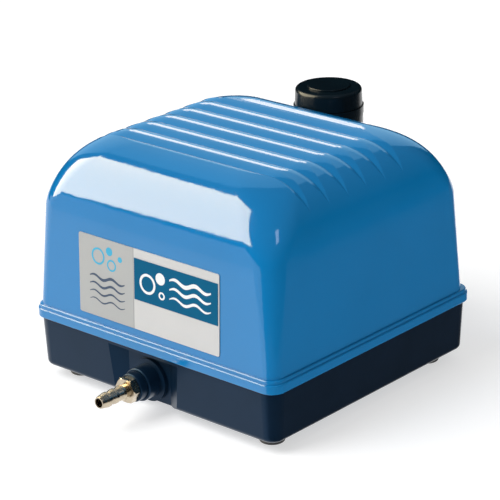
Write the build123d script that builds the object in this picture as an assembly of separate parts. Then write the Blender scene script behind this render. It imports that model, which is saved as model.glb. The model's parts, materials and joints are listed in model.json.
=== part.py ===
"""Linear-diaphragm air pump for ponds and aquaria.

Frame: millimetres, +Z up, +X to the right along the label face, -Y to the front, where the hose tail is.
The origin is on the floor, under the centre of the housing.
"""
from build123d import *
import math
import os

# Housing
FLANGE_W = 190.0          # cover flange, left to right
FLANGE_D = 185.0          # cover flange, front to back
FLANGE_CORNER = 9.0
JOINT_Z = 38.9            # height of the joint between cover and base
COVER_SIDE = (93.0, 34.4)            # wall's distance from the middle at the joint, radius of its shoulder
COVER_FRONT = (90.5, 38.1)
COVER_REAR = (87.8, 39.4)
COVER_WALL = 3.2
COVER_DRAFT = 1.8         # degrees
COVER_TOP_Z = 149.2
SHOULDER_LOW_Z = 109.5
SHOULDER_STEPS = 6
CORNER_LOW = 7.0          # the corners' radius in plan at the flange
CORNER_GROWTH, CORNER_GROWTH_Z = 0.08, 49.0       # growth per millimetre of height above that level
CORNER_SWELL, CORNER_SWELL_Z = 9.0, (104.5, 129.6)
BEAD_Z = (44.6, 46.8)     # tops of the flange's lower and upper bead
UPPER_BEAD_INSET = 1.0
BEAD_R = 0.8
MIN_CORNER = 2.0

# Grooves across the top, with round-backed ridges between them
RIDGE_COUNT = 6
RIDGE_PITCH = 16.735
RIDGE_FIRST_Y = -40.1     # crest of the ridge nearest the front
RIDGE_TOP_Z = 149.1
RIDGE_R = 22.6            # radius of a ridge's round back
RIDGE_LEVEL = 2.0         # how far before its crest the rearmost ridge runs out level with the cover
GROOVE_END_R = 38.0       # wider than the cover's shoulder, so that the grooves fade out on it
GROOVE_END_ANGLE = 75.0
GROOVE_ABOVE = 4.0        # what is cut away reaches this far above the ridges

# Base tray
BASE_INSET = 1.6
BASE_CORNER = 9.5
BASE_DRAFT = 3.0
BASE_Z = 7.0
BASE_WALL = 3.0
BASE_FLOOR = 3.0
BASE_EDGE = 3.5
LEDGE = 3.4               # thickness of the rim that the cover sits on
LIP_H = 4.6
LIP_WALL = 1.5
LIP_INSET = 8.6           # from the flange's outer edge, clear of the cover's rear wall

# Filter niche in the rear of the housing
NICHE_X, NICHE_Y = -15.0, 90.0
NICHE_R = 23.5
NICHE_WALL = 3.6
BOSS_R = 23.0
SEAT_HOLE_R = 8.0

# Gasket between cover and base
GASKET_W = 2.0
GASKET_H = 1.5
GASKET_INSET = 2.0        # from the flange's outer edge

# Feet and housing screws
FOOT_X, FOOT_Y = 75.5, 72.0
FOOT_R, FOOT_H = 7.6, 8.0
FOOT_POCKET_R = 7.8
SCREW_R = 1.9
SCREW_HEAD_R, SCREW_HEAD_Z = 4.2, (2.0, 5.0)
SCREW_TOP_Z = 70.0
POST_R, POST_TOP_Z = 6.0, 40.8
COVER_BOSS_R, COVER_BOSS_Z = 5.5, (41.0, 88.0)
WEB = 2.0

# Recess in the front of the base
RECESS_X = -6.3
RECESS_OUTER, RECESS_INNER = 51.4, 32.6
RECESS_BACK_Y = -85.2
RECESS_DEPTH = 4.7
RECESS_TOP_Z = 36.5

# Air outlet
OUTLET_X, OUTLET_Z = -5.0, 20.0
COLLAR_R, COLLAR_Y = 13.0, -87.7
SOCKET_R, SOCKET_Y = 10.0, -97.0
SPIGOT_R, SPIGOT_Y = 8.9, -80.0
NIPPLE_R, NIPPLE_Y, AIR_BORE_R = 6.0, -72.0, 4.0
THREAD_R, THREAD_END_Y, SEAL_T = 5.0, -90.0, 1.4
RING_R, RING_Y = 8.6, -102.4
HEX_AF, HEX_Y = 14.0, -107.5
BARB_R, BARB_NECK_R, BARB_TIP_R = 4.55, 3.8, 3.7
BARB_COUNT, BARB_PITCH, BARB_LAND = 3, 5.9, 1.6
BARB_START = 2.6          # bare neck between the hexagon and the first barb
TAIL_BORE_R = 2.75

# Air filter
CANISTER_R, CANISTER_BORE_R = 21.4, 19.5
SHOULDER_Z, COLLAR_LOW_Z = 141.0, 136.0
CANISTER_COLLAR_R = 21.7
NECK_R, NECK_BORE_R, NECK_TOP_Z = 17.6, 15.9, 148.0
CANISTER_SPIGOT_R, CANISTER_SPIGOT_BORE = 7.7, 5.7
CAP_R, CAP_FLARE = 20.5, 0.45
CAP_LOW_Z, CAP_TOP_Z = 141.4, 152.4
CAP_BORE_R, CAP_ROOF_Z = 18.8, 150.0
CAP_EDGE_R = 2.5
CAP_DISC_R, CAP_DISC_H = 13.2, 1.1
CAP_RIBS = 8
CAP_NOTCH_ANGLES = (60, 90, 120, 150)     # all on the rear half
FOAM_R, FOAM_LOW_Z = 15.3, 118.0

# Air chamber in the base
CHAMBER_W, CHAMBER_D, CHAMBER_CORNER = 148.0, 100.0, 6.0
CHAMBER_Z = 36.0
CHAMBER_WALL = 3.0
CHAMBER_GASKET_H, CHAMBER_LID_H = 1.0, 3.0
CHAMBER_SCREW_X, CHAMBER_SCREW_Y = 67.0, 43.0
CHAMBER_BOSS_R = 4.5

# Motor: the armature's axis runs along X through (0, MOTOR_Y, MOTOR_Z)
MOTOR_Y, MOTOR_Z = -10.0, 86.0
DAMPER_X, DAMPER_Y, DAMPER_R, DAMPER_H = 38.0, 31.0, 7.0, 11.0
PLATE_X, PLATE_Y, PLATE_T = 49.0, 40.0, 2.5
END_PLATE_X = (46.0, 48.5)
HEAD_SIZE, HEAD_CORNER = 60.0, 5.0
DIAPHRAGM_R, DIAPHRAGM_T = 28.0, 1.5
CONVOLUTION = (14.0, 22.0, 3.0)      # inner radius, outer radius, depth
CLAMP_R, CLAMP_T = 13.0, 1.9
ROD_R, ROD_END = 3.0, 56.0
ROD_NUT_AF, ROD_NUT_T = 8.0, 3.0
CARRIER = (40.0, 4.0, 13.0)          # half sizes
MAGNET_X, MAGNET_Z = (4.0, 18.0), 10.0
MAGNET_HALF_Y = 4.6
CORE_X, CORE_Y, YOKE_Y, CORE_Z = 22.0, 9.0, 27.0, 14.0
CORE_BACK_Y = 35.0
CENTRE_LEG, SIDE_LEG = 5.0, 14.0
BOBBIN_WALL, BOBBIN_GAP = 1.2, 0.2
BOBBIN_Y = (10.0, 26.8)
BOBBIN_FLANGE = (13.4, 23.0)
WINDING = (13.0, 22.0)
BRACKET_X, BRACKET_T = 32.0, 2.5
BRACKET_SCREW_X, BRACKET_SCREW_Y = 27.0, 30.0
SMALL_SCREW_R, SMALL_HOLE_R, SMALL_HEAD_R = 1.6, 1.7, 3.0

# Pump heads, along X from the diaphragm outwards
HEAD_X = (50.0, 60.0, 62.5, 70.0)    # face, valve wall, back of valve wall, back
HEAD_COVER_X = 72.5
WORK_R = 22.0
POCKET_Y, POCKET_Z = 20.0, (3.0, 22.0)
PORT_R, PORT_Y, PORT_Z = 3.0, 5.0, 12.0
FLAP_T, FLAP_Y, FLAP_Z = 0.8, 9.0, (5.5, 18.5)
HEAD_SCREW = 25.0
HOSE_PORT_X, STUB_R, STUB_BORE_R = 66.0, 4.0, 2.5
STUB_H = 6.0
HOSE_R, HOSE_Z = 6.2, (41.0, 55.0)

# Electrical inlet
GLAND_X, GLAND_Z = 60.0, 24.0
GLAND_PAD = (11.0, 86.0, 91.2)       # radius, inner face, outer face
GLAND_R, GLAND_BODY_R, GLAND_BORE_R = 9.0, 7.0, 3.7
GLAND_Y = (80.0, 99.0)
NUT_AF, NUT_T = 19.0, 4.0
TERMINAL = (34.0, 64.0, 52.0, 64.0, 24.0)
LEAD_R = 1.2

# Label
LABEL_X, LABEL_W, LABEL_Z = -1.0, 109.2, (51.6, 100.5)
LABEL_T = 0.6
LABEL_GAP = 0.03          # thickness of the glue
BAND_X, BAND_Z, BAND_T = (-11.2, 52.8), (70.0, 95.0), 0.3

CORNERS = [(sx, sy) for sx in (-1, 1) for sy in (-1, 1)]
FLOOR_Z = BASE_Z + BASE_FLOOR
LID_Z = CHAMBER_Z + CHAMBER_GASKET_H
LID_TOP_Z = LID_Z + CHAMBER_LID_H
PLATE_Z = LID_TOP_Z + DAMPER_H


# Basic shapes

def block(x0, x1, y0, y1, z0, z1):
    """Box given by its limits."""
    centre = Pos((x0 + x1) / 2, (y0 + y1) / 2, (z0 + z1) / 2)
    return centre * Box(abs(x1 - x0), abs(y1 - y0), abs(z1 - z0))


def rod(axis, radius, low, high, u=0.0, v=0.0):
    """Round bar along X, Y or Z. u and v place it: (y, z), (x, z) or (x, y)."""
    middle = (low + high) / 2
    bar = Cylinder(radius, abs(high - low))
    if axis == "X":
        return Pos(middle, u, v) * Rot(0, 90, 0) * bar
    if axis == "Y":
        return Pos(u, middle, v) * Rot(90, 0, 0) * bar
    return Pos(u, v, middle) * bar


def plate(width, depth, corner, z0, z1, x=0.0, y=0.0):
    """Upright slab with rounded corners."""
    outline = Plane.XY.offset(z0) * Pos(x, y) * RectangleRounded(width, depth, corner)
    return extrude(outline, amount=z1 - z0)


def side_plate(width, height, corner, x0, x1, y, z):
    """Slab across X with rounded corners."""
    outline = Plane.YZ.offset(x0) * Pos(y, z) * RectangleRounded(width, height, corner)
    return extrude(outline, amount=x1 - x0)


def hexagon(across_flats, y0, y1, x, z):
    """Hexagonal bar along Y."""
    outline = Plane.XZ.offset(-y0) * Pos(x, z) * RegularPolygon(across_flats / math.sqrt(3), 6)
    return extrude(outline, amount=y0 - y1)


def edges_at(part, z):
    """The edges that lie at one height."""
    return [edge for edge in part.edges() if max(abs(v.Z - z) for v in edge.vertices()) < 0.01]


def niche(radius, z0, z1):
    """Upright bar on the filter niche's axis."""
    return rod("Z", radius, z0, z1, NICHE_X, NICHE_Y)


def flange_plate(inset, z0, z1):
    """Slab that follows the flange's outline some way inside it."""
    corner = max(FLANGE_CORNER - inset, MIN_CORNER)
    return plate(FLANGE_W - 2 * inset, FLANGE_D - 2 * inset, corner, z0, z1)


def niche_ring(inset, width, radius, z0, z1):
    """Closed ring that follows the housing's outline and turns in around the filter niche.

    inset is from the flange's edge to the ring, and radius is the ring's inner one at the niche.
    """
    outer = flange_plate(inset, z0, z1) - niche(radius, z0, z1)
    return outer - (flange_plate(inset + width, z0, z1) - niche(radius + width, z0, z1))


# Cover

def wall_reach(wall, shrink, z):
    """Distance from the middle to one of the cover's walls: a leaning wall, then a round shoulder."""
    foot, shoulder = wall
    lean = math.radians(COVER_DRAFT)
    radius = shoulder - shrink
    axis_z = COVER_TOP_Z - shoulder
    if z < axis_z + radius * math.sin(lean):
        return foot - shrink - math.tan(lean) * (z - JOINT_Z)
    axis = foot - shrink - math.tan(lean) * (axis_z - JOINT_Z) - radius / math.cos(lean)
    return axis + math.sqrt(max(radius ** 2 - (z - axis_z) ** 2, 0))


def corner_radius(shrink, z):
    """Radius of the cover's corners in plan, which grows towards the top."""
    low, high = CORNER_SWELL_Z
    share = min(max((z - low) / (high - low), 0), 1)
    swell = CORNER_SWELL * share ** 2 * (3 - 2 * share)
    return CORNER_LOW + CORNER_GROWTH * max(z - CORNER_GROWTH_Z, 0) + swell - shrink


def cover_section(shrink, z):
    """Outline of the cover at some height, moved in by shrink."""
    side, front, rear = [wall_reach(wall, shrink, z) for wall in (COVER_SIDE, COVER_FRONT, COVER_REAR)]
    outline = RectangleRounded(2 * side, front + rear, corner_radius(shrink, z))
    return Plane.XY.offset(z) * Pos(0, (rear - front) / 2) * outline


def dome(shrink, z_low):
    """Cover-shaped block: straight walls up from z_low, then shoulders that bend in to the top."""
    rise = COVER_TOP_Z - shrink - SHOULDER_LOW_Z
    turns = [math.radians(90 * i / SHOULDER_STEPS) for i in range(SHOULDER_STEPS + 1)]
    walls = loft([cover_section(shrink, z_low), cover_section(shrink, SHOULDER_LOW_Z)], ruled=True)
    return walls + loft([cover_section(shrink, SHOULDER_LOW_Z + rise * math.sin(turn)) for turn in turns])


def groove_outline():
    """Section of the space above the ridges: one groove in front of each, and a free run-out at both ends."""
    centre_z = RIDGE_TOP_Z - RIDGE_R
    valley_z = centre_z + math.sqrt(RIDGE_R ** 2 - (RIDGE_PITCH / 2) ** 2)
    before = RIDGE_FIRST_Y - RIDGE_PITCH
    reach = RIDGE_PITCH / 3
    point = first = (before - reach, centre_z + math.sqrt(RIDGE_R ** 2 - reach ** 2))
    edges = []
    for y in [before + RIDGE_PITCH * i for i in range(RIDGE_COUNT)]:
        valley = (y + RIDGE_PITCH / 2, valley_z)
        edges.append(ThreePointArc(point, (y, RIDGE_TOP_Z), valley))
        point = valley
    last = before + RIDGE_PITCH * RIDGE_COUNT
    middle = (last - reach, first[1])
    level = (last - RIDGE_LEVEL, centre_z + math.sqrt(RIDGE_R ** 2 - RIDGE_LEVEL ** 2))
    edges.append(ThreePointArc(point, middle, level))
    slope = RIDGE_LEVEL / math.sqrt(RIDGE_R ** 2 - RIDGE_LEVEL ** 2)
    end = (last + reach, level[1] + slope * (reach + RIDGE_LEVEL))
    high_z = RIDGE_TOP_Z + GROOVE_ABOVE
    edges += Polyline(level, end, (end[0], high_z), (first[0], high_z), first).edges()
    return Plane.YZ * make_face(Wire(edges))


def grooves():
    """What the grooves take away: straight across the top, then bent down past both shoulders."""
    half = wall_reach(COVER_SIDE, 0, COVER_TOP_Z)
    outline = groove_outline()
    space = extrude(outline, amount=half, both=True)
    for side in (-1, 1):
        pivot = Axis((side * half, 0, RIDGE_TOP_Z - GROOVE_END_R), (0, side, 0))
        space += revolve(Pos(side * half, 0, 0) * outline, pivot, GROOVE_END_ANGLE)
    return space


def flange():
    """Two rounded beads round the foot of the cover, with a groove between them."""
    low = flange_plate(0, JOINT_Z, BEAD_Z[0])
    low = fillet(edges_at(low, BEAD_Z[0]) + edges_at(low, JOINT_Z), BEAD_R)
    high = flange_plate(UPPER_BEAD_INSET, BEAD_Z[0] - 1, BEAD_Z[1])
    return low + fillet(edges_at(high, BEAD_Z[1]), BEAD_R)


def cover_boss(sx, sy):
    """Screw boss in one corner, tied to both walls by webs."""
    x, y = sx * FOOT_X, sy * FOOT_Y
    low, high = COVER_BOSS_Z
    web_low, web_high = JOINT_Z + LIP_H + 1, high - 4
    boss = rod("Z", COVER_BOSS_R, low, high, x, y)
    boss += block(x, sx * FLANGE_W / 2, y - WEB / 2, y + WEB / 2, web_low, web_high)
    return boss + block(x - WEB / 2, x + WEB / 2, y, sy * FLANGE_D / 2, web_low, web_high)


def top_cover():
    """Ridged shell with its flange, filter niche, screw bosses and gasket groove."""
    skin = dome(0, JOINT_Z + 1) - grooves()
    outside = skin + flange()
    shell = outside - dome(COVER_WALL, JOINT_Z - 1)
    shell += niche(NICHE_R + NICHE_WALL, JOINT_Z, COVER_TOP_Z + 1) & outside
    for sx, sy in CORNERS:
        shell += cover_boss(sx, sy) & skin
        shell -= rod("Z", SCREW_R + 0.1, COVER_BOSS_Z[0], SCREW_TOP_Z + 4, sx * FOOT_X, sy * FOOT_Y)
    shell -= niche(NICHE_R, JOINT_Z - 1, COVER_TOP_Z + 1)
    return shell - cover_gasket()


def cover_gasket():
    """Rubber ring in the cover's groove."""
    return niche_ring(GASKET_INSET, GASKET_W, NICHE_R + 0.6, JOINT_Z, JOINT_Z + GASKET_H)


# Base

def base_block(shrink, z_low, z_high, corner):
    """Tray-shaped block that narrows towards the floor."""
    lean = math.tan(math.radians(BASE_DRAFT)) * (JOINT_Z - z_high)
    trim = 2 * (BASE_INSET + shrink + lean)
    top = Plane((0, 0, z_high), x_dir=(1, 0, 0), z_dir=(0, 0, -1))
    outline = top * RectangleRounded(FLANGE_W - trim, FLANGE_D - trim, corner)
    return extrude(outline, amount=z_high - z_low, taper=BASE_DRAFT)


def recess(grow, z_low, z_high):
    """Wedge-sided bay in the front of the base, or its wall when grown."""
    slope = (RECESS_OUTER - RECESS_INNER) / 2 / RECESS_DEPTH
    back, front = RECESS_BACK_Y + grow, -FLANGE_D / 2 - 3
    half = RECESS_INNER / 2 + grow
    wide = half + slope * (back - front)
    outline = [(-half, back), (half, back), (wide, front), (-wide, front)]
    return extrude(Plane.XY.offset(z_low) * Pos(RECESS_X) * make_face(Polyline(*outline, close=True)),
                   amount=z_high - z_low)


def base_tray():
    """Tray with the seat for the cover, the filter's boss, screw posts and the outlet bay."""
    ledge_z = JOINT_Z - LEDGE
    outside = base_block(0, BASE_Z, JOINT_Z, BASE_CORNER)
    outside = fillet(edges_at(outside, BASE_Z), BASE_EDGE)
    boss = niche(BOSS_R, BASE_Z, JOINT_Z)
    outside += fillet(edges_at(boss, BASE_Z), BASE_EDGE)
    tray = outside - base_block(BASE_WALL, FLOOR_Z, ledge_z, BASE_CORNER - BASE_WALL)
    tray -= niche(BOSS_R - BASE_WALL, FLOOR_Z, ledge_z)
    mouth = flange_plate(LIP_INSET + LIP_WALL, ledge_z, JOINT_Z)
    tray -= mouth - niche(NICHE_R + NICHE_WALL + 0.4 + LIP_WALL, ledge_z, JOINT_Z)
    tray += niche_ring(LIP_INSET, LIP_WALL, NICHE_R + NICHE_WALL + 0.4, JOINT_Z, JOINT_Z + LIP_H)
    tray += recess(BASE_WALL, BASE_Z, JOINT_Z) & outside
    for sx, sy in CORNERS:
        tray += rod("Z", POST_R, FLOOR_Z, POST_TOP_Z, sx * FOOT_X, sy * FOOT_Y)
        tray -= rod("Z", SCREW_R + 0.4, BASE_Z, POST_TOP_Z, sx * FOOT_X, sy * FOOT_Y)
        tray -= rod("Z", FOOT_POCKET_R, BASE_Z - 1, FOOT_H, sx * FOOT_X, sy * FOOT_Y)
    tray -= recess(0, 0, RECESS_TOP_Z)
    tray -= rod("Y", SPIGOT_R + 0.1, RECESS_BACK_Y - 1, RECESS_BACK_Y + BASE_WALL + 1, OUTLET_X, OUTLET_Z)
    tray -= niche(SEAT_HOLE_R, ledge_z, JOINT_Z)
    tray -= niche(SEAT_HOLE_R + 1.7, JOINT_Z - GASKET_H, JOINT_Z)
    pad_r, inner, outer = GLAND_PAD
    tray += rod("Y", pad_r, inner, outer, GLAND_X, GLAND_Z)
    return tray - rod("Y", GLAND_BODY_R + 0.1, inner - 1, outer + 1, GLAND_X, GLAND_Z)


def foot(sx, sy):
    """Rubber foot with a counterbore for the screw head."""
    x, y = sx * FOOT_X, sy * FOOT_Y
    body = rod("Z", FOOT_R, 0, FOOT_H, x, y)
    body = fillet(edges_at(body, 0), 1.5)
    body -= rod("Z", SCREW_HEAD_R + 0.4, 0, SCREW_HEAD_Z[1], x, y)
    return body - rod("Z", SCREW_R + 0.2, 0, FOOT_H, x, y)


def cross_screw(radius, head_radius, head_height, length):
    """Pan-head screw standing on its tip side: head below z = 0, shank up to length, cross recess below."""
    head = fillet(edges_at(rod("Z", head_radius, -head_height, 0), -head_height), head_height * 0.35)
    slot = head_radius * 1.1
    cross = block(-slot / 2, slot / 2, -0.4, 0.4, -head_height, -head_height * 0.45)
    cross += block(-0.4, 0.4, -slot / 2, slot / 2, -head_height, -head_height * 0.45)
    return head - cross + rod("Z", radius, 0, length)


def cover_screws():
    """Four long screws, up through the feet and the base into the cover."""
    low, high = SCREW_HEAD_Z
    screw = cross_screw(SCREW_R, SCREW_HEAD_R, high - low, SCREW_TOP_Z - high)
    return Compound([Pos(sx * FOOT_X, sy * FOOT_Y, high) * screw for sx, sy in CORNERS])


# Label

def front_plane(x, z):
    """Plane on the cover's front wall, its Z axis pointing out."""
    lean = math.radians(COVER_DRAFT)
    y = math.tan(lean) * (z - JOINT_Z) - COVER_FRONT[0] - LABEL_GAP
    return Plane((x, y, z), x_dir=(1, 0, 0), z_dir=(0, -math.cos(lean), math.sin(lean)))


def label_plate():
    """Name plate on the front of the cover."""
    middle = sum(LABEL_Z) / 2
    height = (LABEL_Z[1] - LABEL_Z[0]) / math.cos(math.radians(COVER_DRAFT))
    outline = RectangleRounded(LABEL_W, height, 1.2)
    return extrude(front_plane(LABEL_X, middle) * outline, amount=LABEL_T)


def label_band():
    """Raised coloured band on the right of the name plate."""
    middle = sum(BAND_Z) / 2
    outline = Rectangle(BAND_X[1] - BAND_X[0], BAND_Z[1] - BAND_Z[0])
    surface = front_plane(sum(BAND_X) / 2, middle).offset(LABEL_T)
    return extrude(surface * outline, amount=BAND_T)


# Air outlet

def outlet_bar(radius, y0, y1):
    """Round bar on the outlet's axis."""
    return rod("Y", radius, y0, y1, OUTLET_X, OUTLET_Z)


def outlet_socket():
    """Socket through the bay's wall, with a nipple inside."""
    socket = outlet_bar(COLLAR_R, COLLAR_Y, RECESS_BACK_Y) + outlet_bar(SOCKET_R, SOCKET_Y, COLLAR_Y)
    socket = fillet(socket.edges().filter_by(GeomType.CIRCLE).group_by(Axis.Y)[0], 0.8)
    socket += outlet_bar(SPIGOT_R, RECESS_BACK_Y, SPIGOT_Y) + outlet_bar(NIPPLE_R, SPIGOT_Y, NIPPLE_Y)
    socket -= outlet_bar(AIR_BORE_R, SOCKET_Y, NIPPLE_Y)
    return socket - outlet_bar(THREAD_R + 0.05, SOCKET_Y, THREAD_END_Y + SEAL_T)


def outlet_ring():
    """Locking ring between the socket and the hose tail's hexagon."""
    ring = outlet_bar(RING_R, RING_Y, SOCKET_Y)
    ring = fillet(ring.edges().filter_by(GeomType.CIRCLE), 0.7)
    return ring - outlet_bar(THREAD_R + 0.05, RING_Y, SOCKET_Y)


def outlet_seal():
    """Rubber washer at the bottom of the socket's threaded hole."""
    inner = THREAD_END_Y + SEAL_T
    return outlet_bar(THREAD_R, THREAD_END_Y, inner) - outlet_bar(AIR_BORE_R, THREAD_END_Y, inner)


def barb_outline():
    """Half section of the barbed stem, as (distance from the hexagon, radius)."""
    outline = [(0, TAIL_BORE_R), (0, BARB_NECK_R), (BARB_START, BARB_NECK_R)]
    for i in range(BARB_COUNT):
        start = BARB_START + i * BARB_PITCH
        tip = start + BARB_PITCH
        outline += [(start, BARB_R), (start + BARB_LAND, BARB_R), (tip, BARB_TIP_R)]
    return outline + [(tip + 0.8, BARB_TIP_R - 0.4), (tip + 0.8, TAIL_BORE_R)]


def hose_tail():
    """Brass hose tail: thread, hexagon and barbs on one bore."""
    points = [(OUTLET_X + radius, HEX_Y - along) for along, radius in barb_outline()]
    outline = Plane.XY.offset(OUTLET_Z) * make_face(Polyline(*points, close=True))
    stem = revolve(outline, Axis((OUTLET_X, 0, OUTLET_Z), (0, 1, 0)))
    nut = hexagon(HEX_AF, HEX_Y, RING_Y, OUTLET_X, OUTLET_Z)
    nut = nut & chamfered_bar(HEX_AF / math.sqrt(3) + 0.02, HEX_Y, RING_Y)
    nut += outlet_bar(THREAD_R, RING_Y, THREAD_END_Y)
    return stem + (nut - outlet_bar(TAIL_BORE_R, HEX_Y, THREAD_END_Y))


def chamfered_bar(radius, y0, y1):
    """Bar on the outlet's axis with both ends chamfered, to round off a hexagon's corners."""
    bar = outlet_bar(radius, y0, y1)
    return chamfer(bar.edges().filter_by(GeomType.CIRCLE), 0.9)


def outlet_pipe():
    """Rubber sleeve from the socket's nipple to the air chamber's stub."""
    near, far = SPIGOT_Y + 0.5, MOTOR_Y - CHAMBER_D / 2 - 0.5
    return outlet_bar(NIPPLE_R + 2.5, near, far) - outlet_bar(NIPPLE_R, near, far)


# Air filter

def filter_canister():
    """Upright tube in the niche, with a neck for the cap and a spigot in the base."""
    can = niche(CANISTER_R, JOINT_Z, COLLAR_LOW_Z) + niche(CANISTER_COLLAR_R, COLLAR_LOW_Z, SHOULDER_Z)
    can += niche(NECK_R, SHOULDER_Z, NECK_TOP_Z)
    can += niche(CANISTER_SPIGOT_R, JOINT_Z - 3, JOINT_Z)
    can -= niche(CANISTER_BORE_R, JOINT_Z + 3, COLLAR_LOW_Z) + niche(NECK_BORE_R, COLLAR_LOW_Z, NECK_TOP_Z)
    return can - niche(CANISTER_SPIGOT_BORE, JOINT_Z - 3, JOINT_Z + 3)


def canister_seal():
    """Rubber ring round the canister's spigot."""
    low = JOINT_Z - GASKET_H
    return niche(SEAT_HOLE_R + 1.7, low, JOINT_Z) - niche(CANISTER_SPIGOT_R, low, JOINT_Z)


def filter_cap():
    """Push-on cap with air notches round its skirt and a raised disc on top."""
    outline = [(0, CAP_LOW_Z), (CAP_R + CAP_FLARE, CAP_LOW_Z), (CAP_R, CAP_TOP_Z), (0, CAP_TOP_Z)]
    cap = revolve(Plane.XZ * make_face(Polyline(*outline, close=True)), Axis.Z)
    cap = fillet(edges_at(cap, CAP_TOP_Z), CAP_EDGE_R)
    disc = rod("Z", CAP_DISC_R, CAP_TOP_Z - 0.5, CAP_TOP_Z + CAP_DISC_H)
    cap += fillet(edges_at(disc, CAP_TOP_Z + CAP_DISC_H), 0.5)
    cap -= rod("Z", CAP_BORE_R, CAP_LOW_Z, CAP_ROOF_Z)
    for angle in CAP_NOTCH_ANGLES:
        cap -= Rot(0, 0, angle) * block(CAP_BORE_R - 1, CAP_R + 2, -2.4, 2.4, CAP_LOW_Z, CAP_LOW_Z + 2.0)
    for i in range(CAP_RIBS):
        turn = Rot(0, 0, 360 / CAP_RIBS * (i + 0.5))
        cap += turn * block(NECK_R + 0.15, CAP_BORE_R + 0.2, -0.8, 0.8, CAP_LOW_Z + 2.4, CAP_ROOF_Z)
        cap += turn * block(FOAM_R + 0.6, CAP_BORE_R, -0.8, 0.8, NECK_TOP_Z + 0.1, CAP_ROOF_Z)
    return Pos(NICHE_X, NICHE_Y) * cap


def filter_foam():
    """Foam plug that hangs from the cap in the canister's neck."""
    return niche(FOAM_R, FOAM_LOW_Z, CAP_ROOF_Z)


# Air chamber

def chamber_points():
    """Where the chamber's lid screws stand."""
    return [(sx * CHAMBER_SCREW_X, MOTOR_Y + sy * CHAMBER_SCREW_Y) for sx, sy in CORNERS]


def chamber_slab(shrink, z0, z1):
    """Slab with the chamber's outline."""
    corner = max(CHAMBER_CORNER - shrink, 1.0)
    return plate(CHAMBER_W - 2 * shrink, CHAMBER_D - 2 * shrink, corner, z0, z1, 0, MOTOR_Y)


def air_chamber():
    """Box that smooths the air flow, with a baffle and an outlet stub."""
    box = chamber_slab(0, FLOOR_Z, CHAMBER_Z) - chamber_slab(CHAMBER_WALL, FLOOR_Z + 2.5, CHAMBER_Z)
    for x, y in chamber_points():
        box += rod("Z", CHAMBER_BOSS_R, FLOOR_Z + 2.5, CHAMBER_Z, x, y)
        box -= rod("Z", SMALL_SCREW_R, CHAMBER_Z - 15, CHAMBER_Z, x, y)
    back = MOTOR_Y + CHAMBER_D / 2 - CHAMBER_WALL
    box += block(-1.2, 1.2, MOTOR_Y - 20, back, FLOOR_Z + 2.5, CHAMBER_Z)
    front = MOTOR_Y - CHAMBER_D / 2
    box += outlet_bar(NIPPLE_R, front - 8, front)
    return box - outlet_bar(AIR_BORE_R, front - 8, front + CHAMBER_WALL)


def chamber_gasket():
    """Gasket under the chamber's lid."""
    ring = chamber_slab(0, CHAMBER_Z, LID_Z) - chamber_slab(CHAMBER_WALL, CHAMBER_Z, LID_Z)
    for x, y in chamber_points():
        ring += rod("Z", CHAMBER_BOSS_R, CHAMBER_Z, LID_Z, x, y)
        ring -= rod("Z", SMALL_HOLE_R, CHAMBER_Z, LID_Z, x, y)
    return ring


def chamber_lid():
    """Lid with a stub for each pump head's hose."""
    lid = chamber_slab(0, LID_Z, LID_TOP_Z)
    for x, y in chamber_points():
        lid -= rod("Z", SMALL_HOLE_R, LID_Z, LID_TOP_Z, x, y)
    for side in (-1, 1):
        x = side * HOSE_PORT_X
        lid += rod("Z", STUB_R, LID_TOP_Z, LID_TOP_Z + STUB_H, x, MOTOR_Y)
        lid -= rod("Z", STUB_BORE_R, LID_Z, LID_TOP_Z + STUB_H, x, MOTOR_Y)
    return lid


def chamber_screws():
    """Four screws that hold the chamber's lid."""
    screw = Rot(180, 0, 0) * cross_screw(SMALL_SCREW_R, SMALL_HEAD_R, 2.2, LID_TOP_Z - CHAMBER_Z + 12)
    return Compound([Pos(x, y, LID_TOP_Z) * screw for x, y in chamber_points()])


# Motor

def damper(sx, sy):
    """Waisted rubber damper under the motor plate."""
    half = DAMPER_H / 2
    outline = [(0, -half), (DAMPER_R, -half), (DAMPER_R, 2 - half), (DAMPER_R - 1.8, 0)]
    outline += [(DAMPER_R, half - 2), (DAMPER_R, half), (0, half)]
    body = revolve(Plane.XZ * make_face(Polyline(*outline, close=True)), Axis.Z)
    return Pos(sx * DAMPER_X, MOTOR_Y + sy * DAMPER_Y, LID_TOP_Z + half) * body


def motor_plate():
    """Pressed plate that carries the coils, with an upright end plate for each diaphragm."""
    top = PLATE_Z + PLATE_T
    body = plate(2 * PLATE_X, 2 * PLATE_Y, 4, PLATE_Z, top, 0, MOTOR_Y)
    half = HEAD_SIZE / 2
    for side in (-1, 1):
        low, high = sorted(side * x for x in END_PLATE_X)
        end = block(low, high, MOTOR_Y - half, MOTOR_Y + half, PLATE_Z, MOTOR_Z + half)
        end -= rod("X", CONVOLUTION[1] + 2, low, high, MOTOR_Y, MOTOR_Z)
        body += end
        for dy, dz in CORNERS:
            body -= rod("X", SMALL_HOLE_R, low, high, MOTOR_Y + dy * HEAD_SCREW, MOTOR_Z + dz * HEAD_SCREW)
    for x, y in bracket_points():
        body -= rod("Z", SMALL_HOLE_R, PLATE_Z, top, x, y)
    return body


def bracket_points():
    """Where the screws of both core brackets stand."""
    return [(sx * BRACKET_SCREW_X, MOTOR_Y + sy * BRACKET_SCREW_Y) for sx, sy in CORNERS]


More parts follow.
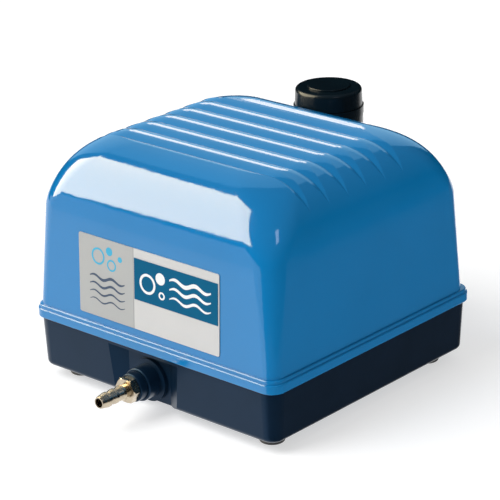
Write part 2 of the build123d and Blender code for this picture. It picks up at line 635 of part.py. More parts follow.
def core_bracket(side):
    """Bracket that holds one laminated core at the height of the armature."""
    low = PLATE_Z + PLATE_T
    core_low, core_high = MOTOR_Z - CORE_Z, MOTOR_Z + CORE_Z
    back = CORE_BACK_Y + BRACKET_T
    arm = block(-24, 24, CORE_BACK_Y, back, low, core_high + BRACKET_T)
    arm += block(-BRACKET_X, BRACKET_X, 20, back, low, low + BRACKET_T)
    arm += block(-12, 12, YOKE_Y + 0.5, back, core_high, core_high + BRACKET_T)
    for x in (-20, 18):
        arm += block(x, x + 2, 20, CORE_BACK_Y, low, core_low)
    for sx in (-1, 1):
        arm -= rod("Z", SMALL_HOLE_R, low, low + BRACKET_T, sx * BRACKET_SCREW_X, BRACKET_SCREW_Y)
    return place_side(arm, side)


def place_side(part, side):
    """Put a piece modelled on the +Y side of the armature on either side of it."""
    turned = part if side > 0 else Rot(0, 0, 180) * part
    return Pos(0, MOTOR_Y, 0) * turned


def magnet_core(side):
    """E-shaped stack of laminations, legs towards the armature."""
    low, high = MOTOR_Z - CORE_Z, MOTOR_Z + CORE_Z
    core = block(-CORE_X, CORE_X, YOKE_Y, CORE_BACK_Y, low, high)
    for x0, x1 in ((-CORE_X, -SIDE_LEG), (-CENTRE_LEG, CENTRE_LEG), (SIDE_LEG, CORE_X)):
        core += block(x0, x1, CORE_Y, YOKE_Y, low, high)
    return place_side(core, side)


def bobbin_tube(grow, y0, y1):
    """Box round the centre leg, grown by some wall thickness."""
    x, z = CENTRE_LEG + BOBBIN_GAP + grow, CORE_Z + BOBBIN_GAP + grow
    return block(-x, x, y0, y1, MOTOR_Z - z, MOTOR_Z + z)


def coil_bobbin(side):
    """Moulded bobbin with two flanges."""
    y0, y1 = BOBBIN_Y
    x, z = BOBBIN_FLANGE
    body = bobbin_tube(BOBBIN_WALL, y0, y1)
    for low in (y0, y1 - BOBBIN_WALL):
        body += block(-x, x, low, low + BOBBIN_WALL, MOTOR_Z - z, MOTOR_Z + z)
    return place_side(body - bobbin_tube(0, y0, y1), side)


def coil_winding(side):
    """Copper winding between the bobbin's flanges."""
    y0, y1 = BOBBIN_Y[0] + BOBBIN_WALL, BOBBIN_Y[1] - BOBBIN_WALL
    x, z = WINDING
    outline = Plane.XZ.offset(-y0) * Pos(0, MOTOR_Z) * RectangleRounded(2 * x, 2 * z, 4)
    body = extrude(outline, amount=y0 - y1)
    return place_side(body - bobbin_tube(BOBBIN_WALL, y0, y1), side)


def bracket_screws():
    """Four screws that hold the core brackets."""
    top = PLATE_Z + PLATE_T + BRACKET_T
    screw = Rot(180, 0, 0) * cross_screw(SMALL_SCREW_R, SMALL_HEAD_R, 2.2, 7)
    return Compound([Pos(x, y, top) * screw for x, y in bracket_points()])


# Armature

def axis_bar(radius, x0, x1):
    """Round bar on the armature's axis."""
    return rod("X", radius, x0, x1, MOTOR_Y, MOTOR_Z)


def magnet(side):
    """One flat magnet in the armature."""
    low, high = sorted(side * x for x in MAGNET_X)
    body = block(low, high, -MAGNET_HALF_Y, MAGNET_HALF_Y, -MAGNET_Z, MAGNET_Z)
    return Pos(0, MOTOR_Y, MOTOR_Z) * body


def clamp_limits(side):
    """X limits of the two clamp discs of one diaphragm, inner disc first."""
    inner, outer = END_PLATE_X[1], END_PLATE_X[1] + DIAPHRAGM_T
    pairs = ((inner - CLAMP_T, inner), (outer, outer + CLAMP_T))
    return [tuple(sorted(side * x for x in pair)) for pair in pairs]


def armature_carrier():
    """Moving bar with a threaded rod at each end."""
    x, y, z = CARRIER
    bar = block(-x, x, MOTOR_Y - y, MOTOR_Y + y, MOTOR_Z - z, MOTOR_Z + z)
    shoulder = END_PLATE_X[1] - CLAMP_T
    for side in (-1, 1):
        bar += axis_bar(ROD_R + 1.8, *sorted((side * x, side * shoulder)))
        bar += axis_bar(ROD_R, *sorted((side * shoulder, side * ROD_END)))
        bar -= magnet(side)
    return bar


def armature_magnets():
    """The two magnets that the coils push and pull."""
    return Compound([magnet(-1), magnet(1)])


def clamp_discs():
    """Discs that clamp the middle of each diaphragm."""
    discs = []
    for side in (-1, 1):
        for low, high in clamp_limits(side):
            discs.append(axis_bar(CLAMP_R, low, high) - axis_bar(ROD_R, low, high))
    return Compound(discs)


def rod_nuts():
    """Nuts on the ends of the armature's rods."""
    nuts = []
    start = END_PLATE_X[1] + DIAPHRAGM_T + CLAMP_T
    for side in (-1, 1):
        plane = Plane.YZ.offset(side * start) * Pos(MOTOR_Y, MOTOR_Z)
        nut = extrude(plane * RegularPolygon(ROD_NUT_AF / math.sqrt(3), 6), amount=side * ROD_NUT_T)
        nuts.append(nut - axis_bar(ROD_R, *sorted((side * start, side * (start + ROD_NUT_T)))))
    return Compound(nuts)


# Diaphragms and pump heads, modelled on the +X side and turned round for the other

def place_end(part, side):
    """Put a piece modelled on the +X side at either end of the motor."""
    turned = part if side > 0 else Rot(0, 0, 180) * part
    return Pos(0, MOTOR_Y, 0) * turned


def end_bar(radius, x0, x1, y=0.0, z=0.0):
    """Round bar along X at one end, placed from the armature's axis."""
    return rod("X", radius, x0, x1, y, MOTOR_Z + z)


def diaphragm(side):
    """Rubber disc with one rolled convolution."""
    inner, outer, depth = CONVOLUTION
    face, back = END_PLATE_X[1], END_PLATE_X[1] + DIAPHRAGM_T
    middle = (inner + outer) / 2
    outline = Polyline((back, outer), (back, DIAPHRAGM_R), (face, DIAPHRAGM_R), (face, outer))
    outline += ThreePointArc((face, outer), (face - depth, middle), (face, inner))
    outline += Polyline((face, inner), (face, ROD_R), (back, ROD_R), (back, inner + DIAPHRAGM_T / 2))
    outline += ThreePointArc((back, inner + DIAPHRAGM_T / 2), (back - depth, middle), (back, outer))
    disc = revolve(make_face(Wire(outline.edges())), Axis.X)
    return place_end(Pos(0, 0, MOTOR_Z) * disc, side)


def pump_head(side):
    """Head with a working chamber, a valve wall, two port chambers and a hose stub."""
    face, wall, wall_back, back = HEAD_X
    half = HEAD_SIZE / 2
    head = side_plate(HEAD_SIZE, HEAD_SIZE, HEAD_CORNER, face, back, 0, MOTOR_Z)
    head -= end_bar(WORK_R, face, wall)
    near, far = POCKET_Z
    for sign in (-1, 1):
        low, high = sorted(MOTOR_Z + sign * z for z in POCKET_Z)
        head -= block(wall_back, back, -POCKET_Y, POCKET_Y, low, high)
        for y in (-PORT_Y, PORT_Y):
            head -= end_bar(PORT_R, wall, wall_back, y, sign * PORT_Z)
    stub_low = MOTOR_Z - half - STUB_H
    head += rod("Z", STUB_R, stub_low, MOTOR_Z - half, HOSE_PORT_X, 0)
    head -= rod("Z", STUB_BORE_R, stub_low, MOTOR_Z - (near + far) / 2, HOSE_PORT_X, 0)
    return place_end(head - head_holes(face, back), side)


def head_holes(x0, x1):
    """Screw holes through a head's corners."""
    holes = [end_bar(SMALL_HOLE_R, x0, x1, sy * HEAD_SCREW, sz * HEAD_SCREW) for sy, sz in CORNERS]
    return Compound(holes)


def head_cover(side):
    """Plate over the back of a head, slotted over the intake chamber."""
    back = HEAD_X[3]
    cover = side_plate(HEAD_SIZE, HEAD_SIZE, HEAD_CORNER, back, HEAD_COVER_X, 0, MOTOR_Z)
    for y in (-12, 0, 12):
        cover -= block(back, HEAD_COVER_X, y - 3, y + 3, MOTOR_Z + 6, MOTOR_Z + 20)
    return place_end(cover - head_holes(back, HEAD_COVER_X), side)


def intake_flap(side):
    """Rubber flap inside the working chamber, over the intake ports."""
    wall = HEAD_X[1]
    near, far = FLAP_Z
    return place_end(block(wall - FLAP_T, wall, -FLAP_Y, FLAP_Y, MOTOR_Z + near, MOTOR_Z + far), side)


def outlet_flap(side):
    """Rubber flap in the outlet chamber, over the outlet ports."""
    wall = HEAD_X[2]
    near, far = FLAP_Z
    return place_end(block(wall, wall + FLAP_T, -FLAP_Y, FLAP_Y, MOTOR_Z - far, MOTOR_Z - near), side)


def head_screws():
    """Four screws through each head and its cover."""
    length = HEAD_COVER_X - END_PLATE_X[0]
    screw = Rot(0, -90, 0) * cross_screw(SMALL_SCREW_R, SMALL_HEAD_R, 2.2, length)
    screws = []
    for side in (-1, 1):
        for sy, sz in CORNERS:
            spot = Pos(HEAD_COVER_X, sy * HEAD_SCREW, MOTOR_Z + sz * HEAD_SCREW)
            screws.append(place_end(spot * screw, side))
    return Compound(screws)


def head_hose(side):
    """Rubber sleeve from a head's stub down to the chamber's stub."""
    low, high = HOSE_Z
    hose = rod("Z", HOSE_R, low, high, HOSE_PORT_X, 0) - rod("Z", STUB_R, low, high, HOSE_PORT_X, 0)
    return place_end(hose, side)


# Electrical inlet

def terminal_block():
    """Block of three screw terminals on the base's floor."""
    x0, x1, y0, y1, top = TERMINAL
    body = block(x0, x1, y0, y1, FLOOR_Z, top)
    pitch = (x1 - x0) / 3
    for i in range(3):
        middle = x0 + pitch * (i + 0.5)
        body -= rod("Z", 2.6, top - 3, top, middle, y0 + 3.4)
        body -= rod("Y", 2.2, y1 - 5, y1, middle, FLOOR_Z + 6)
    return body


def gland_bar(radius, y0, y1):
    """Round bar on the cable gland's axis."""
    return rod("Y", radius, y0, y1, GLAND_X, GLAND_Z)


def cable_gland():
    """Gland for the mains cable, through the rear wall."""
    inner, outer = GLAND_Y
    face = GLAND_PAD[2]
    dome_part = gland_bar(GLAND_R, face, outer)
    dome_part = fillet(dome_part.edges().filter_by(GeomType.CIRCLE).group_by(Axis.Y)[-1], 2.5)
    body = dome_part + gland_bar(GLAND_BODY_R, inner, face)
    return body - gland_bar(GLAND_BORE_R, inner, outer)


def gland_nut():
    """Hexagonal nut that holds the gland from inside."""
    face = GLAND_PAD[1]
    nut = hexagon(NUT_AF, face - NUT_T, face, GLAND_X, GLAND_Z)
    return nut - gland_bar(GLAND_BODY_R, face - NUT_T, face)


def coil_lead(points, bend):
    """Insulated lead from a coil to the terminal block."""
    path = FilletPolyline(*points, radius=bend)
    start = Plane(path @ 0, z_dir=path % 0)
    return sweep(start * Circle(LEAD_R), path=path)


def rear_lead():
    """Lead of the rear coil."""
    top = MOTOR_Z + WINDING[1]
    points = [(8, 4, top), (8, 4, top + 6), (8, 40, top + 4), (42, 58, 74), (42, 58, TERMINAL[4])]
    return coil_lead(points, 5)


def front_lead():
    """Lead of the front coil."""
    top = MOTOR_Z + WINDING[1]
    points = [(-8, -30, top), (-8, -30, top + 12), (0, 10, top + 14), (22, 42, top + 8), (54, 58, 80)]
    return coil_lead(points + [(54, 58, TERMINAL[4])], 8)


def all_pieces():
    """Every node of the pump, by name."""
    pieces = {
        "top_cover": top_cover(), "cover_gasket": cover_gasket(), "base_tray": base_tray(),
        "cover_screws": cover_screws(), "label_plate": label_plate(), "label_band": label_band(),
        "outlet_socket": outlet_socket(), "outlet_ring": outlet_ring(), "outlet_seal": outlet_seal(),
        "hose_tail": hose_tail(), "outlet_pipe": outlet_pipe(),
        "filter_canister": filter_canister(), "canister_seal": canister_seal(),
        "filter_cap": filter_cap(), "filter_foam": filter_foam(),
        "air_chamber": air_chamber(), "chamber_gasket": chamber_gasket(),
        "chamber_lid": chamber_lid(), "chamber_screws": chamber_screws(),
        "motor_plate": motor_plate(), "bracket_screws": bracket_screws(),
        "armature_carrier": armature_carrier(), "armature_magnets": armature_magnets(),
        "clamp_discs": clamp_discs(), "rod_nuts": rod_nuts(), "head_screws": head_screws(),
        "terminal_block": terminal_block(), "cable_gland": cable_gland(), "gland_nut": gland_nut(),
        "coil_lead_rear": rear_lead(), "coil_lead_front": front_lead(),
    }
    for sx, sy in CORNERS:
        corner = ("rear" if sy > 0 else "front") + ("_right" if sx > 0 else "_left")
        pieces["foot_" + corner] = foot(sx, sy)
        pieces["damper_" + corner] = damper(sx, sy)
    for side, name in ((-1, "front"), (1, "rear")):
        for make in (core_bracket, magnet_core, coil_bobbin, coil_winding):
            pieces[make.__name__ + "_" + name] = make(side)
    for side, name in ((-1, "left"), (1, "right")):
        for make in (diaphragm, pump_head, head_cover, intake_flap, outlet_flap, head_hose):
            pieces[make.__name__ + "_" + name] = make(side)
    return pieces


os.makedirs("parts", exist_ok=True)
for node, piece in all_pieces().items():
    export_step(piece, os.path.join("parts", node + ".step"))
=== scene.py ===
"""Looks of the diaphragm air pump, in metres, in the frame of its CAD model."""
import json
import math
import random

import bmesh
import bpy
from mathutils import Matrix, Vector


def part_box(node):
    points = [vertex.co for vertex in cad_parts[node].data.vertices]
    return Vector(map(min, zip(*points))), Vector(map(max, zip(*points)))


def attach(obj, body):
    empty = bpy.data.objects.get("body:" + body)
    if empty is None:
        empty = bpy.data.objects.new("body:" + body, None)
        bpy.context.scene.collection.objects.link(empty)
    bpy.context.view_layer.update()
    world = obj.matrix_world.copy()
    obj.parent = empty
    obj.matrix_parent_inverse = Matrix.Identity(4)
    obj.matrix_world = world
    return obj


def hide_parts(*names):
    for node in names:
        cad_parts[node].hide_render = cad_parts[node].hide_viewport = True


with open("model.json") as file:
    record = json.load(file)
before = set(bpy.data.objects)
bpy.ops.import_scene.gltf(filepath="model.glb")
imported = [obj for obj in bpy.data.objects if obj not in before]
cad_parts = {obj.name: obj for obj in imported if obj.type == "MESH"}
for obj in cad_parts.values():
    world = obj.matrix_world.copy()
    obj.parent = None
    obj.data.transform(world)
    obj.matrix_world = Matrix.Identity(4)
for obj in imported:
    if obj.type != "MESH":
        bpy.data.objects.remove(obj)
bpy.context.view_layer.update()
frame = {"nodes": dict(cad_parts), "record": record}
nodes = frame["nodes"]

# Label, in metres
WALL_LEAN = 1.8            # degrees that the front wall leans back
PRINT_LIFT = 0.00004       # ink above the film
LABEL_SEAM_X = -0.0120     # line between the label's two panes

# Camera, in degrees, millimetres of lens and metres
CAMERA_AZIMUTH = 41.462
CAMERA_ELEVATION = 21.202
CAMERA_ROLL = 1.092
CAMERA_LENS, CAMERA_SENSOR = 166.67, 36.0
CAMERA_SHIFT = (-0.0058, 0.0005)
CAMERA_TARGET = Vector((0, 0, 0.075))
CAMERA_DISTANCE = 1.37823

# Studio: directions and spreads in degrees, lengths in metres
CARD_AIM = Vector((0, 0, 0.13))      # what the standing light cards face
FLOOR_HALF = 6.0
BOARD_Z = -0.001                     # the floor's light cards lie just under it
BOARD_SPLIT_X = 0.09                 # bright in front of the pump, dim to its right
BOARD_SPLIT_Y = -0.33
BOARD_LEFT_X, BOARD_RIGHT_X, BOARD_REAR_Y = -0.9, 0.30, 0.9
BOARD_FAR = -3
WHITE = (1.0, 1.0, 1.0)


# Shader helpers

def add(tree, kind, inputs=None, **settings):
    """New shader node; inputs are values or the sockets that feed them."""
    made = tree.nodes.new("ShaderNode" + kind)
    for key, value in settings.items():
        setattr(made, key, value)
    for key, value in (inputs or {}).items():
        if isinstance(value, bpy.types.NodeSocket):
            tree.links.new(value, made.inputs[key])
        else:
            made.inputs[key].default_value = value
    return made


def rgba(colour):
    return (*colour, 1.0)


def noise(tree, where, scale, detail=3.0, roughness=0.5):
    inputs = {"Vector": where, "Scale": scale, "Detail": detail, "Roughness": roughness}
    return add(tree, "TexNoise", inputs).outputs["Fac"]


def spread(tree, value, low, high, start=0.3, end=0.7):
    """Map a noise's middle range onto low to high."""
    inputs = {"Value": value, "From Min": start, "From Max": end, "To Min": low, "To Max": high}
    return add(tree, "MapRange", inputs).outputs["Result"]


def mix(tree, share, a, b):
    made = add(tree, "Mix", {"Factor": share}, data_type="RGBA")
    for socket, value in ((made.inputs[6], a), (made.inputs[7], b)):
        if isinstance(value, bpy.types.NodeSocket):
            tree.links.new(value, socket)
        else:
            socket.default_value = rgba(value)
    return made.outputs[2]


def bands(tree, where, direction, period, distortion=0.0):
    """Stripes across one axis, period metres apart."""
    made = add(tree, "TexWave", {"Vector": where, "Scale": 0.314159 / period, "Distortion": distortion},
               wave_type="BANDS", bands_direction=direction)
    return made.outputs["Fac"]


def start_material(name):
    material = bpy.data.materials.new(name)
    material.use_nodes = True
    tree = material.node_tree
    shader = tree.nodes["Principled BSDF"]
    where = add(tree, "TexCoord").outputs["Object"]
    return material, tree, shader, where


def surface(name, colour, other, patch, rough, rough_swing, grain, height, metallic=0.0, specular=0.5,
            coat=0.0, coat_rough=0.1, lines=None, grain_detail=4.0, tint=(1.0, 1.0, 1.0)):
    """Moulded, cast or rolled surface: patches between two colours, uneven roughness and a fine grain."""
    material, tree, shader, where = start_material(name)
    blotch = noise(tree, where, 1.0 / patch)
    shade = mix(tree, spread(tree, blotch, 0.0, 1.0), colour, other)
    relief = noise(tree, where, 1.0 / grain, grain_detail)
    if lines:
        direction, period, depth = lines
        stripe = bands(tree, where, direction, period, 0.3)
        shade = mix(tree, spread(tree, stripe, 0.0, depth, 0.0, 1.0), shade, [c * 0.35 for c in colour])
        relief = add(tree, "Math", {0: stripe, 1: relief}, operation="ADD").outputs[0]
    tree.links.new(shade, shader.inputs["Base Color"])
    worn = noise(tree, where, 2.3 / patch, 5.0)
    tree.links.new(spread(tree, worn, rough - rough_swing, rough + rough_swing), shader.inputs["Roughness"])
    bump = add(tree, "Bump", {"Height": relief, "Strength": 1.0, "Distance": height})
    tree.links.new(bump.outputs["Normal"], shader.inputs["Normal"])
    shader.inputs["Metallic"].default_value = metallic
    shader.inputs["Specular IOR Level"].default_value = specular
    shader.inputs["Specular Tint"].default_value = rgba(tint)
    shader.inputs["Coat Weight"].default_value = coat
    shader.inputs["Coat Roughness"].default_value = coat_rough
    return material


def foam_surface(name):
    """Open-cell foam: lighter struts, with the pores between them painted dark as shade in their depths."""
    material, tree, shader, where = start_material(name)
    cells = add(tree, "TexVoronoi", {"Vector": where, "Scale": 900.0}, feature="DISTANCE_TO_EDGE")
    cells = cells.outputs["Distance"]
    strut = spread(tree, cells, 1.0, 0.0, 0.02, 0.18)
    # the near-black colour in the pores is painted shade; the lighter grey is the foam's own colour
    tree.links.new(mix(tree, strut, (0.012, 0.012, 0.014), (0.11, 0.11, 0.12)), shader.inputs["Base Color"])
    bump = add(tree, "Bump", {"Height": strut, "Strength": 1.0, "Distance": 0.0004})
    tree.links.new(bump.outputs["Normal"], shader.inputs["Normal"])
    shader.inputs["Roughness"].default_value = 0.95
    return material


def label_surface(name, seam_x):
    """Printed film with a fine grain and the line between its two panes."""
    material, tree, shader, where = start_material(name)
    x = add(tree, "SeparateXYZ", {"Vector": where}).outputs["X"]
    away = add(tree, "Math", {0: x, 1: seam_x}, operation="SUBTRACT").outputs[0]
    away = add(tree, "Math", {0: away}, operation="ABSOLUTE").outputs[0]
    seam = spread(tree, away, 1.0, 0.0, 0.0002, 0.0004)
    pane = spread(tree, x, 0.0, 1.0, seam_x - 0.0001, seam_x + 0.0001)
    film = mix(tree, pane, (0.36, 0.37, 0.37), (0.565, 0.565, 0.565))
    film = mix(tree, spread(tree, noise(tree, where, 70.0), 0.0, 0.12), film, (0.46, 0.46, 0.45))
    speck = mix(tree, spread(tree, noise(tree, where, 3500.0, 2.0), 0.0, 0.12), film, (0.5, 0.5, 0.5))
    tree.links.new(mix(tree, seam, speck, (0.26, 0.27, 0.28)), shader.inputs["Base Color"])
    tree.links.new(spread(tree, noise(tree, where, 240.0), 0.38, 0.5), shader.inputs["Roughness"])
    bump = add(tree, "Bump", {"Height": noise(tree, where, 2600.0), "Strength": 1.0, "Distance": 0.000006})
    tree.links.new(bump.outputs["Normal"], shader.inputs["Normal"])
    return material


FINISHES = {
    "blue_cover": dict(colour=(0.004, 0.188, 0.46), other=(0.005, 0.198, 0.485), patch=0.05,
                       rough=0.09, rough_swing=0.02, grain=0.009, height=0.00001),
    "black_plastic": dict(colour=(0.003, 0.012, 0.027), other=(0.004, 0.014, 0.032), patch=0.02,
                          rough=0.33, rough_swing=0.04, grain=0.0007, height=0.00002, specular=0.22,
                          tint=(0.24, 0.53, 1.0)),
    "black_cap": dict(colour=(0.003, 0.009, 0.014), other=(0.004, 0.012, 0.018), patch=0.02,
                      rough=0.24, rough_swing=0.03, grain=0.0012, height=0.000008, specular=0.2),
    "brass": dict(colour=(0.37, 0.32, 0.25), other=(0.47, 0.40, 0.30), patch=0.004, rough=0.24,
                  rough_swing=0.06, grain=0.0005, height=0.000006, metallic=1.0,
                  lines=("Y", 0.0005, 0.12)),
    "rubber": dict(colour=(0.016, 0.016, 0.017), other=(0.03, 0.03, 0.031), patch=0.01, rough=0.72,
                   rough_swing=0.08, grain=0.0006, height=0.00003),
    "steel": dict(colour=(0.58, 0.58, 0.57), other=(0.68, 0.67, 0.64), patch=0.004, rough=0.3,
                  rough_swing=0.08, grain=0.0004, height=0.000008, metallic=1.0),
    "laminations": dict(colour=(0.16, 0.16, 0.175), other=(0.24, 0.235, 0.23), patch=0.006, rough=0.45,
                        rough_swing=0.08, grain=0.0005, height=0.00005, metallic=0.8,
                        lines=("Z", 0.0005, 0.8)),
    "copper": dict(colour=(0.60, 0.20, 0.07), other=(0.75, 0.29, 0.11), patch=0.003, rough=0.28,
                   rough_swing=0.06, grain=0.0006, height=0.00012, metallic=0.9, coat=0.6,
                   lines=("Y", 0.0007, 0.7)),
    "white_nylon": dict(colour=(0.74, 0.72, 0.64), other=(0.80, 0.785, 0.72), patch=0.012, rough=0.45,
                        rough_swing=0.06, grain=0.0009, height=0.00002),
    "zinc_plate": dict(colour=(0.50, 0.51, 0.53), other=(0.64, 0.64, 0.62), patch=0.007, rough=0.36,
                       rough_swing=0.1, grain=0.0011, height=0.00001, metallic=1.0),
    "head_alloy": dict(colour=(0.52, 0.53, 0.54), other=(0.60, 0.60, 0.61), patch=0.01, rough=0.48,
                       rough_swing=0.08, grain=0.0006, height=0.00005, metallic=0.9),
    "magnet": dict(colour=(0.55, 0.55, 0.56), other=(0.62, 0.62, 0.61), patch=0.004, rough=0.2,
                   rough_swing=0.05, grain=0.0012, height=0.000005, metallic=1.0),
    "grey_plastic": dict(colour=(0.20, 0.21, 0.225), other=(0.235, 0.24, 0.25), patch=0.015, rough=0.5,
                         rough_swing=0.06, grain=0.0007, height=0.00003),
    "valve_rubber": dict(colour=(0.05, 0.05, 0.055), other=(0.075, 0.072, 0.07), patch=0.005,
                         rough=0.6, rough_swing=0.08, grain=0.0005, height=0.00002),
    "lead_insulation": dict(colour=(0.66, 0.66, 0.62), other=(0.72, 0.71, 0.66), patch=0.005,
                            rough=0.4, rough_swing=0.05, grain=0.0008, height=0.00001),
    "label_blue": dict(colour=(0.0, 0.098, 0.205), other=(0.0, 0.108, 0.22), patch=0.012, rough=0.36,
                       rough_swing=0.04, grain=0.0005, height=0.000006, specular=0.05),
}

MATERIALS = {slot: surface(slot, **finish) for slot, finish in FINISHES.items()}
MATERIALS["foam"] = foam_surface("foam")
MATERIALS["label_grey"] = label_surface("label_grey", LABEL_SEAM_X)

for part in frame["record"]["subparts"]:
    shown = nodes[part["node"]]
    shown.data.materials.clear()
    shown.data.materials.append(MATERIALS[part["material_slot"]])


# Printed graphics on the label: plain bubbles and waves

def disc(x, z, radius, inner=0.0, steps=48):
    """Round dot or ring as loops of points in the label's plane."""
    turns = [2 * math.pi * i / steps for i in range(steps)]
    outside = [(x + radius * math.cos(t), z + radius * math.sin(t)) for t in turns]
    if not inner:
        return [outside]
    inside = [(x + inner * math.cos(t), z + inner * math.sin(t)) for t in turns]
    return [[outside[i - 1], outside[i], inside[i], inside[i - 1]] for i in range(steps)]


def wave(x0, x1, z, height, length, width, steps=60):
    """Ribbon that swells up and down along the label and thins out at its ends."""
    faces = []
    rows = []
    for i in range(steps + 1):
        share = i / steps
        x = x0 + (x1 - x0) * share
        middle = z + height * math.sin(2 * math.pi * (x - x0) / length)
        half = width / 2 * math.sin(math.pi * min(max(share, 0.03), 0.97)) ** 0.35
        rows.append(((x, middle - half), (x, middle + half)))
    for a, b in zip(rows, rows[1:]):
        faces.append([a[0], b[0], b[1], a[1]])
    return faces


def print_on(node, name, faces, material):
    """Thin print on a label node's outer face."""
    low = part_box(node)[0]
    lean = math.tan(math.radians(WALL_LEAN))
    made = bmesh.new()
    for face in faces:
        made.faces.new([made.verts.new((x, low.y + lean * (z - low.z) - PRINT_LIFT, z)) for x, z in face])
    bmesh.ops.remove_doubles(made, verts=made.verts, dist=1e-7)
    bmesh.ops.recalc_face_normals(made, faces=made.faces)
    mesh = bpy.data.meshes.new(name)
    made.to_mesh(mesh)
    made.free()
    mesh.materials.append(material)
    piece = bpy.data.objects.new(name, mesh)
    bpy.context.scene.collection.objects.link(piece)
    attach(piece, "housing")


def ink(name, colour, other):
    return surface(name, colour, other, patch=0.006, rough=0.4, rough_swing=0.05, grain=0.0006,
                   height=0.000004)


def label_prints():
    low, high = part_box("label_plate")
    left, top = low.x, high.z
    dark = ink("ink_navy", (0.004, 0.03, 0.085), (0.006, 0.04, 0.1))
    light = ink("ink_cyan", (0.0, 0.34, 0.56), (0.01, 0.38, 0.6))
    white = ink("ink_white", (0.78, 0.79, 0.79), (0.83, 0.84, 0.84))
    bubbles = disc(left + 0.0155, top - 0.0115, 0.0052, 0.0040)
    bubbles += disc(left + 0.0245, top - 0.0068, 0.0026)
    bubbles += disc(left + 0.0262, top - 0.0150, 0.0036, 0.0026)
    bubbles += disc(left + 0.0330, top - 0.0098, 0.0017)
    print_on("label_plate", "label_bubbles", bubbles, light)
    waves = []
    for i in range(4):
        line_z = top - 0.0245 - 0.0048 * i
        waves += wave(left + 0.0085, left + 0.0365, line_z, 0.0011, 0.0140, 0.0019 - 0.0003 * i)
    print_on("label_plate", "label_waves", waves, dark)
    low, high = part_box("label_band")
    left, middle = low.x, (low.z + high.z) / 2
    foam = disc(left + 0.0105, middle - 0.0010, 0.0062, 0.0046)
    foam += disc(left + 0.0205, middle + 0.0045, 0.0036)
    foam += disc(left + 0.0215, middle - 0.0055, 0.0024, 0.0013)
    for i in range(3):
        line_z = middle + 0.0055 - 0.0056 * i
        foam += wave(left + 0.0275, left + 0.0590, line_z, 0.0013, 0.0158, 0.0026 - 0.0004 * i)
    print_on("label_band", "band_bubbles", foam, white)


label_prints()


# Filter foam: a soft plug whose surface is open and uneven

def foam_plug():
    low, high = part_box("filter_foam")
    radius = (high.x - low.x) / 2
    middle = (low + high) / 2
    made = bmesh.new()
    bmesh.ops.create_cone(made, cap_ends=True, segments=72, radius1=radius, radius2=radius,
                          depth=high.z - low.z, matrix=Matrix.Translation(middle))
    rims = [edge for edge in made.edges if abs(edge.verts[0].co.z - edge.verts[1].co.z) < 1e-6]
    bmesh.ops.bevel(made, geom=rims, offset=0.0012, segments=3, profile=0.5, affect="EDGES")
    upright = [edge for edge in made.edges if abs(edge.verts[0].co.z - edge.verts[1].co.z) > 0.01]
    bmesh.ops.subdivide_edges(made, edges=upright, cuts=24)
    rng = random.Random(7)
    for vertex in made.verts:
        away = Vector((vertex.co.x - middle.x, vertex.co.y - middle.y, 0))
        if away.length > 0.6 * radius:
            vertex.co -= away.normalized() * rng.uniform(0.0, 0.0005)
    mesh = bpy.data.meshes.new("foam_plug")
    made.to_mesh(mesh)
    made.free()
    for polygon in mesh.polygons:
        polygon.use_smooth = True
    mesh.materials.append(MATERIALS["foam"])
    plug = bpy.data.objects.new("foam_plug", mesh)
    bpy.context.scene.collection.objects.link(plug)
    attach(plug, "cap_and_foam")
    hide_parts("filter_foam")


foam_plug()


# Studio

def emitter(name, colour, strength):
    material = bpy.data.materials.new(name)
    material.use_nodes = True
    tree = material.node_tree
    tree.nodes.clear()
    glow = add(tree, "Emission", {"Color": rgba(colour), "Strength": strength})
    out = add(tree, "OutputMaterial")
    tree.links.new(glow.outputs[0], out.inputs["Surface"])
    return material


def lit_group(name, pieces):
    """Pieces that a light card is meant for."""
    group = bpy.data.collections.new(name)
    for piece in pieces:
        group.objects.link(piece)
    return group


def card(name, corners, colour, strength, group=None):
    """Light card that only glossy surfaces see, or only those of one group of pieces."""
    mesh = bpy.data.meshes.new(name)
    mesh.from_pydata(corners, [], [list(range(len(corners)))])
    mesh.materials.append(emitter(name, colour, strength))
    made = bpy.data.objects.new(name, mesh)
    bpy.context.scene.collection.objects.link(made)
    made.visible_camera = False
    made.visible_diffuse = False
    made.visible_transmission = False
    made.visible_volume_scatter = False
    made.visible_shadow = False
    if group:
        made.light_linking.receiver_collection = group


def aim(azimuth, elevation):
    a, e = math.radians(azimuth), math.radians(elevation)
    return Vector((math.sin(a) * math.cos(e), -math.cos(a) * math.cos(e), math.sin(e)))


def facing_card(name, azimuth, elevation, wide, high, distance, colour, strength, group=None,
                tilt=0.0):
    """Rectangular card that faces the pump from some direction; wide, high and its tilt are in degrees."""
    out = aim(azimuth, elevation)
    side = Vector((-out.y, out.x, 0)).normalized()
    up = out.cross(side)
    t = math.radians(tilt)
    side, up = side * math.cos(t) + up * math.sin(t), up * math.cos(t) - side * math.sin(t)
    centre = CARD_AIM + out * distance
    across = side * distance * math.tan(math.radians(wide / 2))
    along = up * distance * math.tan(math.radians(high / 2))
    corners = [centre + across * sx + along * sy for sx, sy in ((-1, -1), (1, -1), (1, 1), (-1, 1))]
    card(name, corners, colour, strength, group=group)


def board(name, x0, x1, y0, y1, strength):
    """Light card that lies on the floor."""
    corners = [(x0, y0, BOARD_Z), (x1, y0, BOARD_Z), (x1, y1, BOARD_Z), (x0, y1, BOARD_Z)]
    card(name, corners, WHITE, strength)


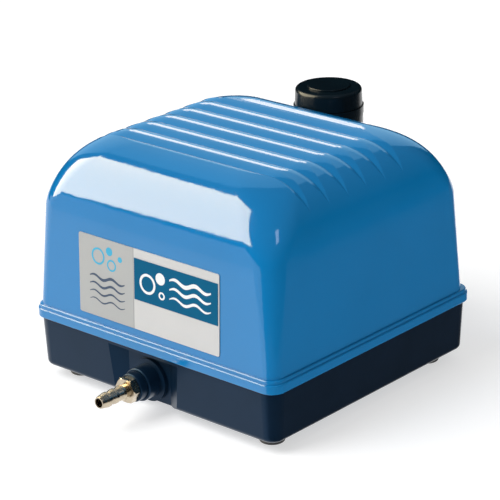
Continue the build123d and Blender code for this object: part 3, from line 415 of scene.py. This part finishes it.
def floor():
    mesh = bpy.data.meshes.new("floor")
    corners = [(sx * FLOOR_HALF, sy * FLOOR_HALF, 0) for sx, sy in ((-1, -1), (1, -1), (1, 1), (-1, 1))]
    mesh.from_pydata(corners, [], [[0, 1, 2, 3]])
    material, tree, shader, where = start_material("pale_floor")
    cloud = spread(tree, noise(tree, where, 3.0), 0.0, 1.0)
    tint = mix(tree, cloud, (0.62, 0.62, 0.62), (0.64, 0.64, 0.64))
    tree.links.new(tint, shader.inputs["Base Color"])
    shader.inputs["Roughness"].default_value = 0.9
    shader.inputs["Specular IOR Level"].default_value = 0.0
    shader.inputs["Emission Color"].default_value = (1, 1, 1, 1)
    shader.inputs["Emission Strength"].default_value = 0.56
    mesh.materials.append(material)
    made = bpy.data.objects.new("floor", mesh)
    bpy.context.scene.collection.objects.link(made)
    made.visible_glossy = False


def sky():
    """White to the eye, even grey to matt surfaces, and a room that brightens overhead to glossy ones."""
    world = bpy.data.worlds.new("studio")
    bpy.context.scene.world = world
    world.use_nodes = True
    tree = world.node_tree
    tree.nodes.clear()
    rays = add(tree, "LightPath").outputs
    up = add(tree, "SeparateXYZ", {"Vector": add(tree, "TexCoord").outputs["Generated"]}).outputs["Z"]
    overhead = spread(tree, up, 0.0, 0.22, 0.15, 0.75)
    room = add(tree, "Background", {"Color": rgba((0.86, 0.93, 1.0)), "Strength": overhead})
    even = add(tree, "Background", {"Color": rgba(WHITE), "Strength": 0.36})
    white = add(tree, "Background", {"Color": rgba(WHITE), "Strength": 0.97})
    first = add(tree, "MixShader", {0: rays["Is Glossy Ray"], 1: even.outputs[0], 2: room.outputs[0]})
    last = add(tree, "MixShader", {0: rays["Is Camera Ray"], 1: first.outputs[0], 2: white.outputs[0]})
    tree.links.new(last.outputs[0], add(tree, "OutputWorld").inputs["Surface"])


def sun(name, azimuth, elevation, strength, spread_angle):
    data = bpy.data.lights.new(name, "SUN")
    data.energy = strength
    data.angle = math.radians(spread_angle)
    made = bpy.data.objects.new(name, data)
    bpy.context.scene.collection.objects.link(made)
    made.rotation_euler = aim(azimuth, elevation).to_track_quat("Z", "Y").to_euler()
    made.visible_glossy = False


def camera():
    azimuth, roll = math.radians(CAMERA_AZIMUTH), math.radians(CAMERA_ROLL)
    back = aim(CAMERA_AZIMUTH, CAMERA_ELEVATION)
    right = Vector((math.cos(azimuth), math.sin(azimuth), 0))
    up = back.cross(right)
    across = right * math.cos(roll) - up * math.sin(roll)
    upward = right * math.sin(roll) + up * math.cos(roll)
    data = bpy.data.cameras.new("camera")
    data.lens = CAMERA_LENS
    data.sensor_width = CAMERA_SENSOR
    data.shift_x, data.shift_y = CAMERA_SHIFT
    made = bpy.data.objects.new("camera", data)
    bpy.context.scene.collection.objects.link(made)
    place = CAMERA_TARGET + back * CAMERA_DISTANCE
    made.matrix_world = Matrix((
        (across.x, upward.x, back.x, place.x),
        (across.y, upward.y, back.y, place.y),
        (across.z, upward.z, back.z, place.z),
        (0, 0, 0, 1),
    ))
    bpy.context.scene.camera = made


def studio():
    """Floor, soft daylight and the cards whose reflections shape the glossy cover."""
    floor()
    sky()
    sun("key", azimuth=-30, elevation=48, strength=2.2, spread_angle=40)
    board("floor_front", BOARD_LEFT_X, BOARD_SPLIT_X, BOARD_SPLIT_Y, BOARD_REAR_Y, 1.5)
    board("floor_ahead", BOARD_FAR, BOARD_SPLIT_X, BOARD_FAR, BOARD_SPLIT_Y, 1.1)
    board("floor_right", BOARD_SPLIT_X, BOARD_RIGHT_X, BOARD_SPLIT_Y, BOARD_REAR_Y, 0.13)
    facing_card("softbox", azimuth=-52, elevation=29, wide=62, high=56, distance=1.7,
                colour=(1.0, 0.87, 0.60), strength=13.6, tilt=38)
    cover_only = lit_group("cover_only", [nodes["top_cover"]])
    facing_card("strip", azimuth=-138, elevation=19, wide=16, high=10, distance=1.5,
                colour=(1.0, 0.95, 0.88), strength=4.2, group=cover_only)
    facing_card("backdrop", azimuth=-138, elevation=31, wide=60, high=56, distance=1.9,
                colour=(0.42, 0.75, 1.0), strength=1.3, group=cover_only)
    facing_card("window", azimuth=72, elevation=42, wide=7, high=16, distance=1.5,
                colour=(0.82, 0.85, 1.0), strength=5.0)


studio()
camera()
bpy.context.scene.view_settings.view_transform = "Standard"
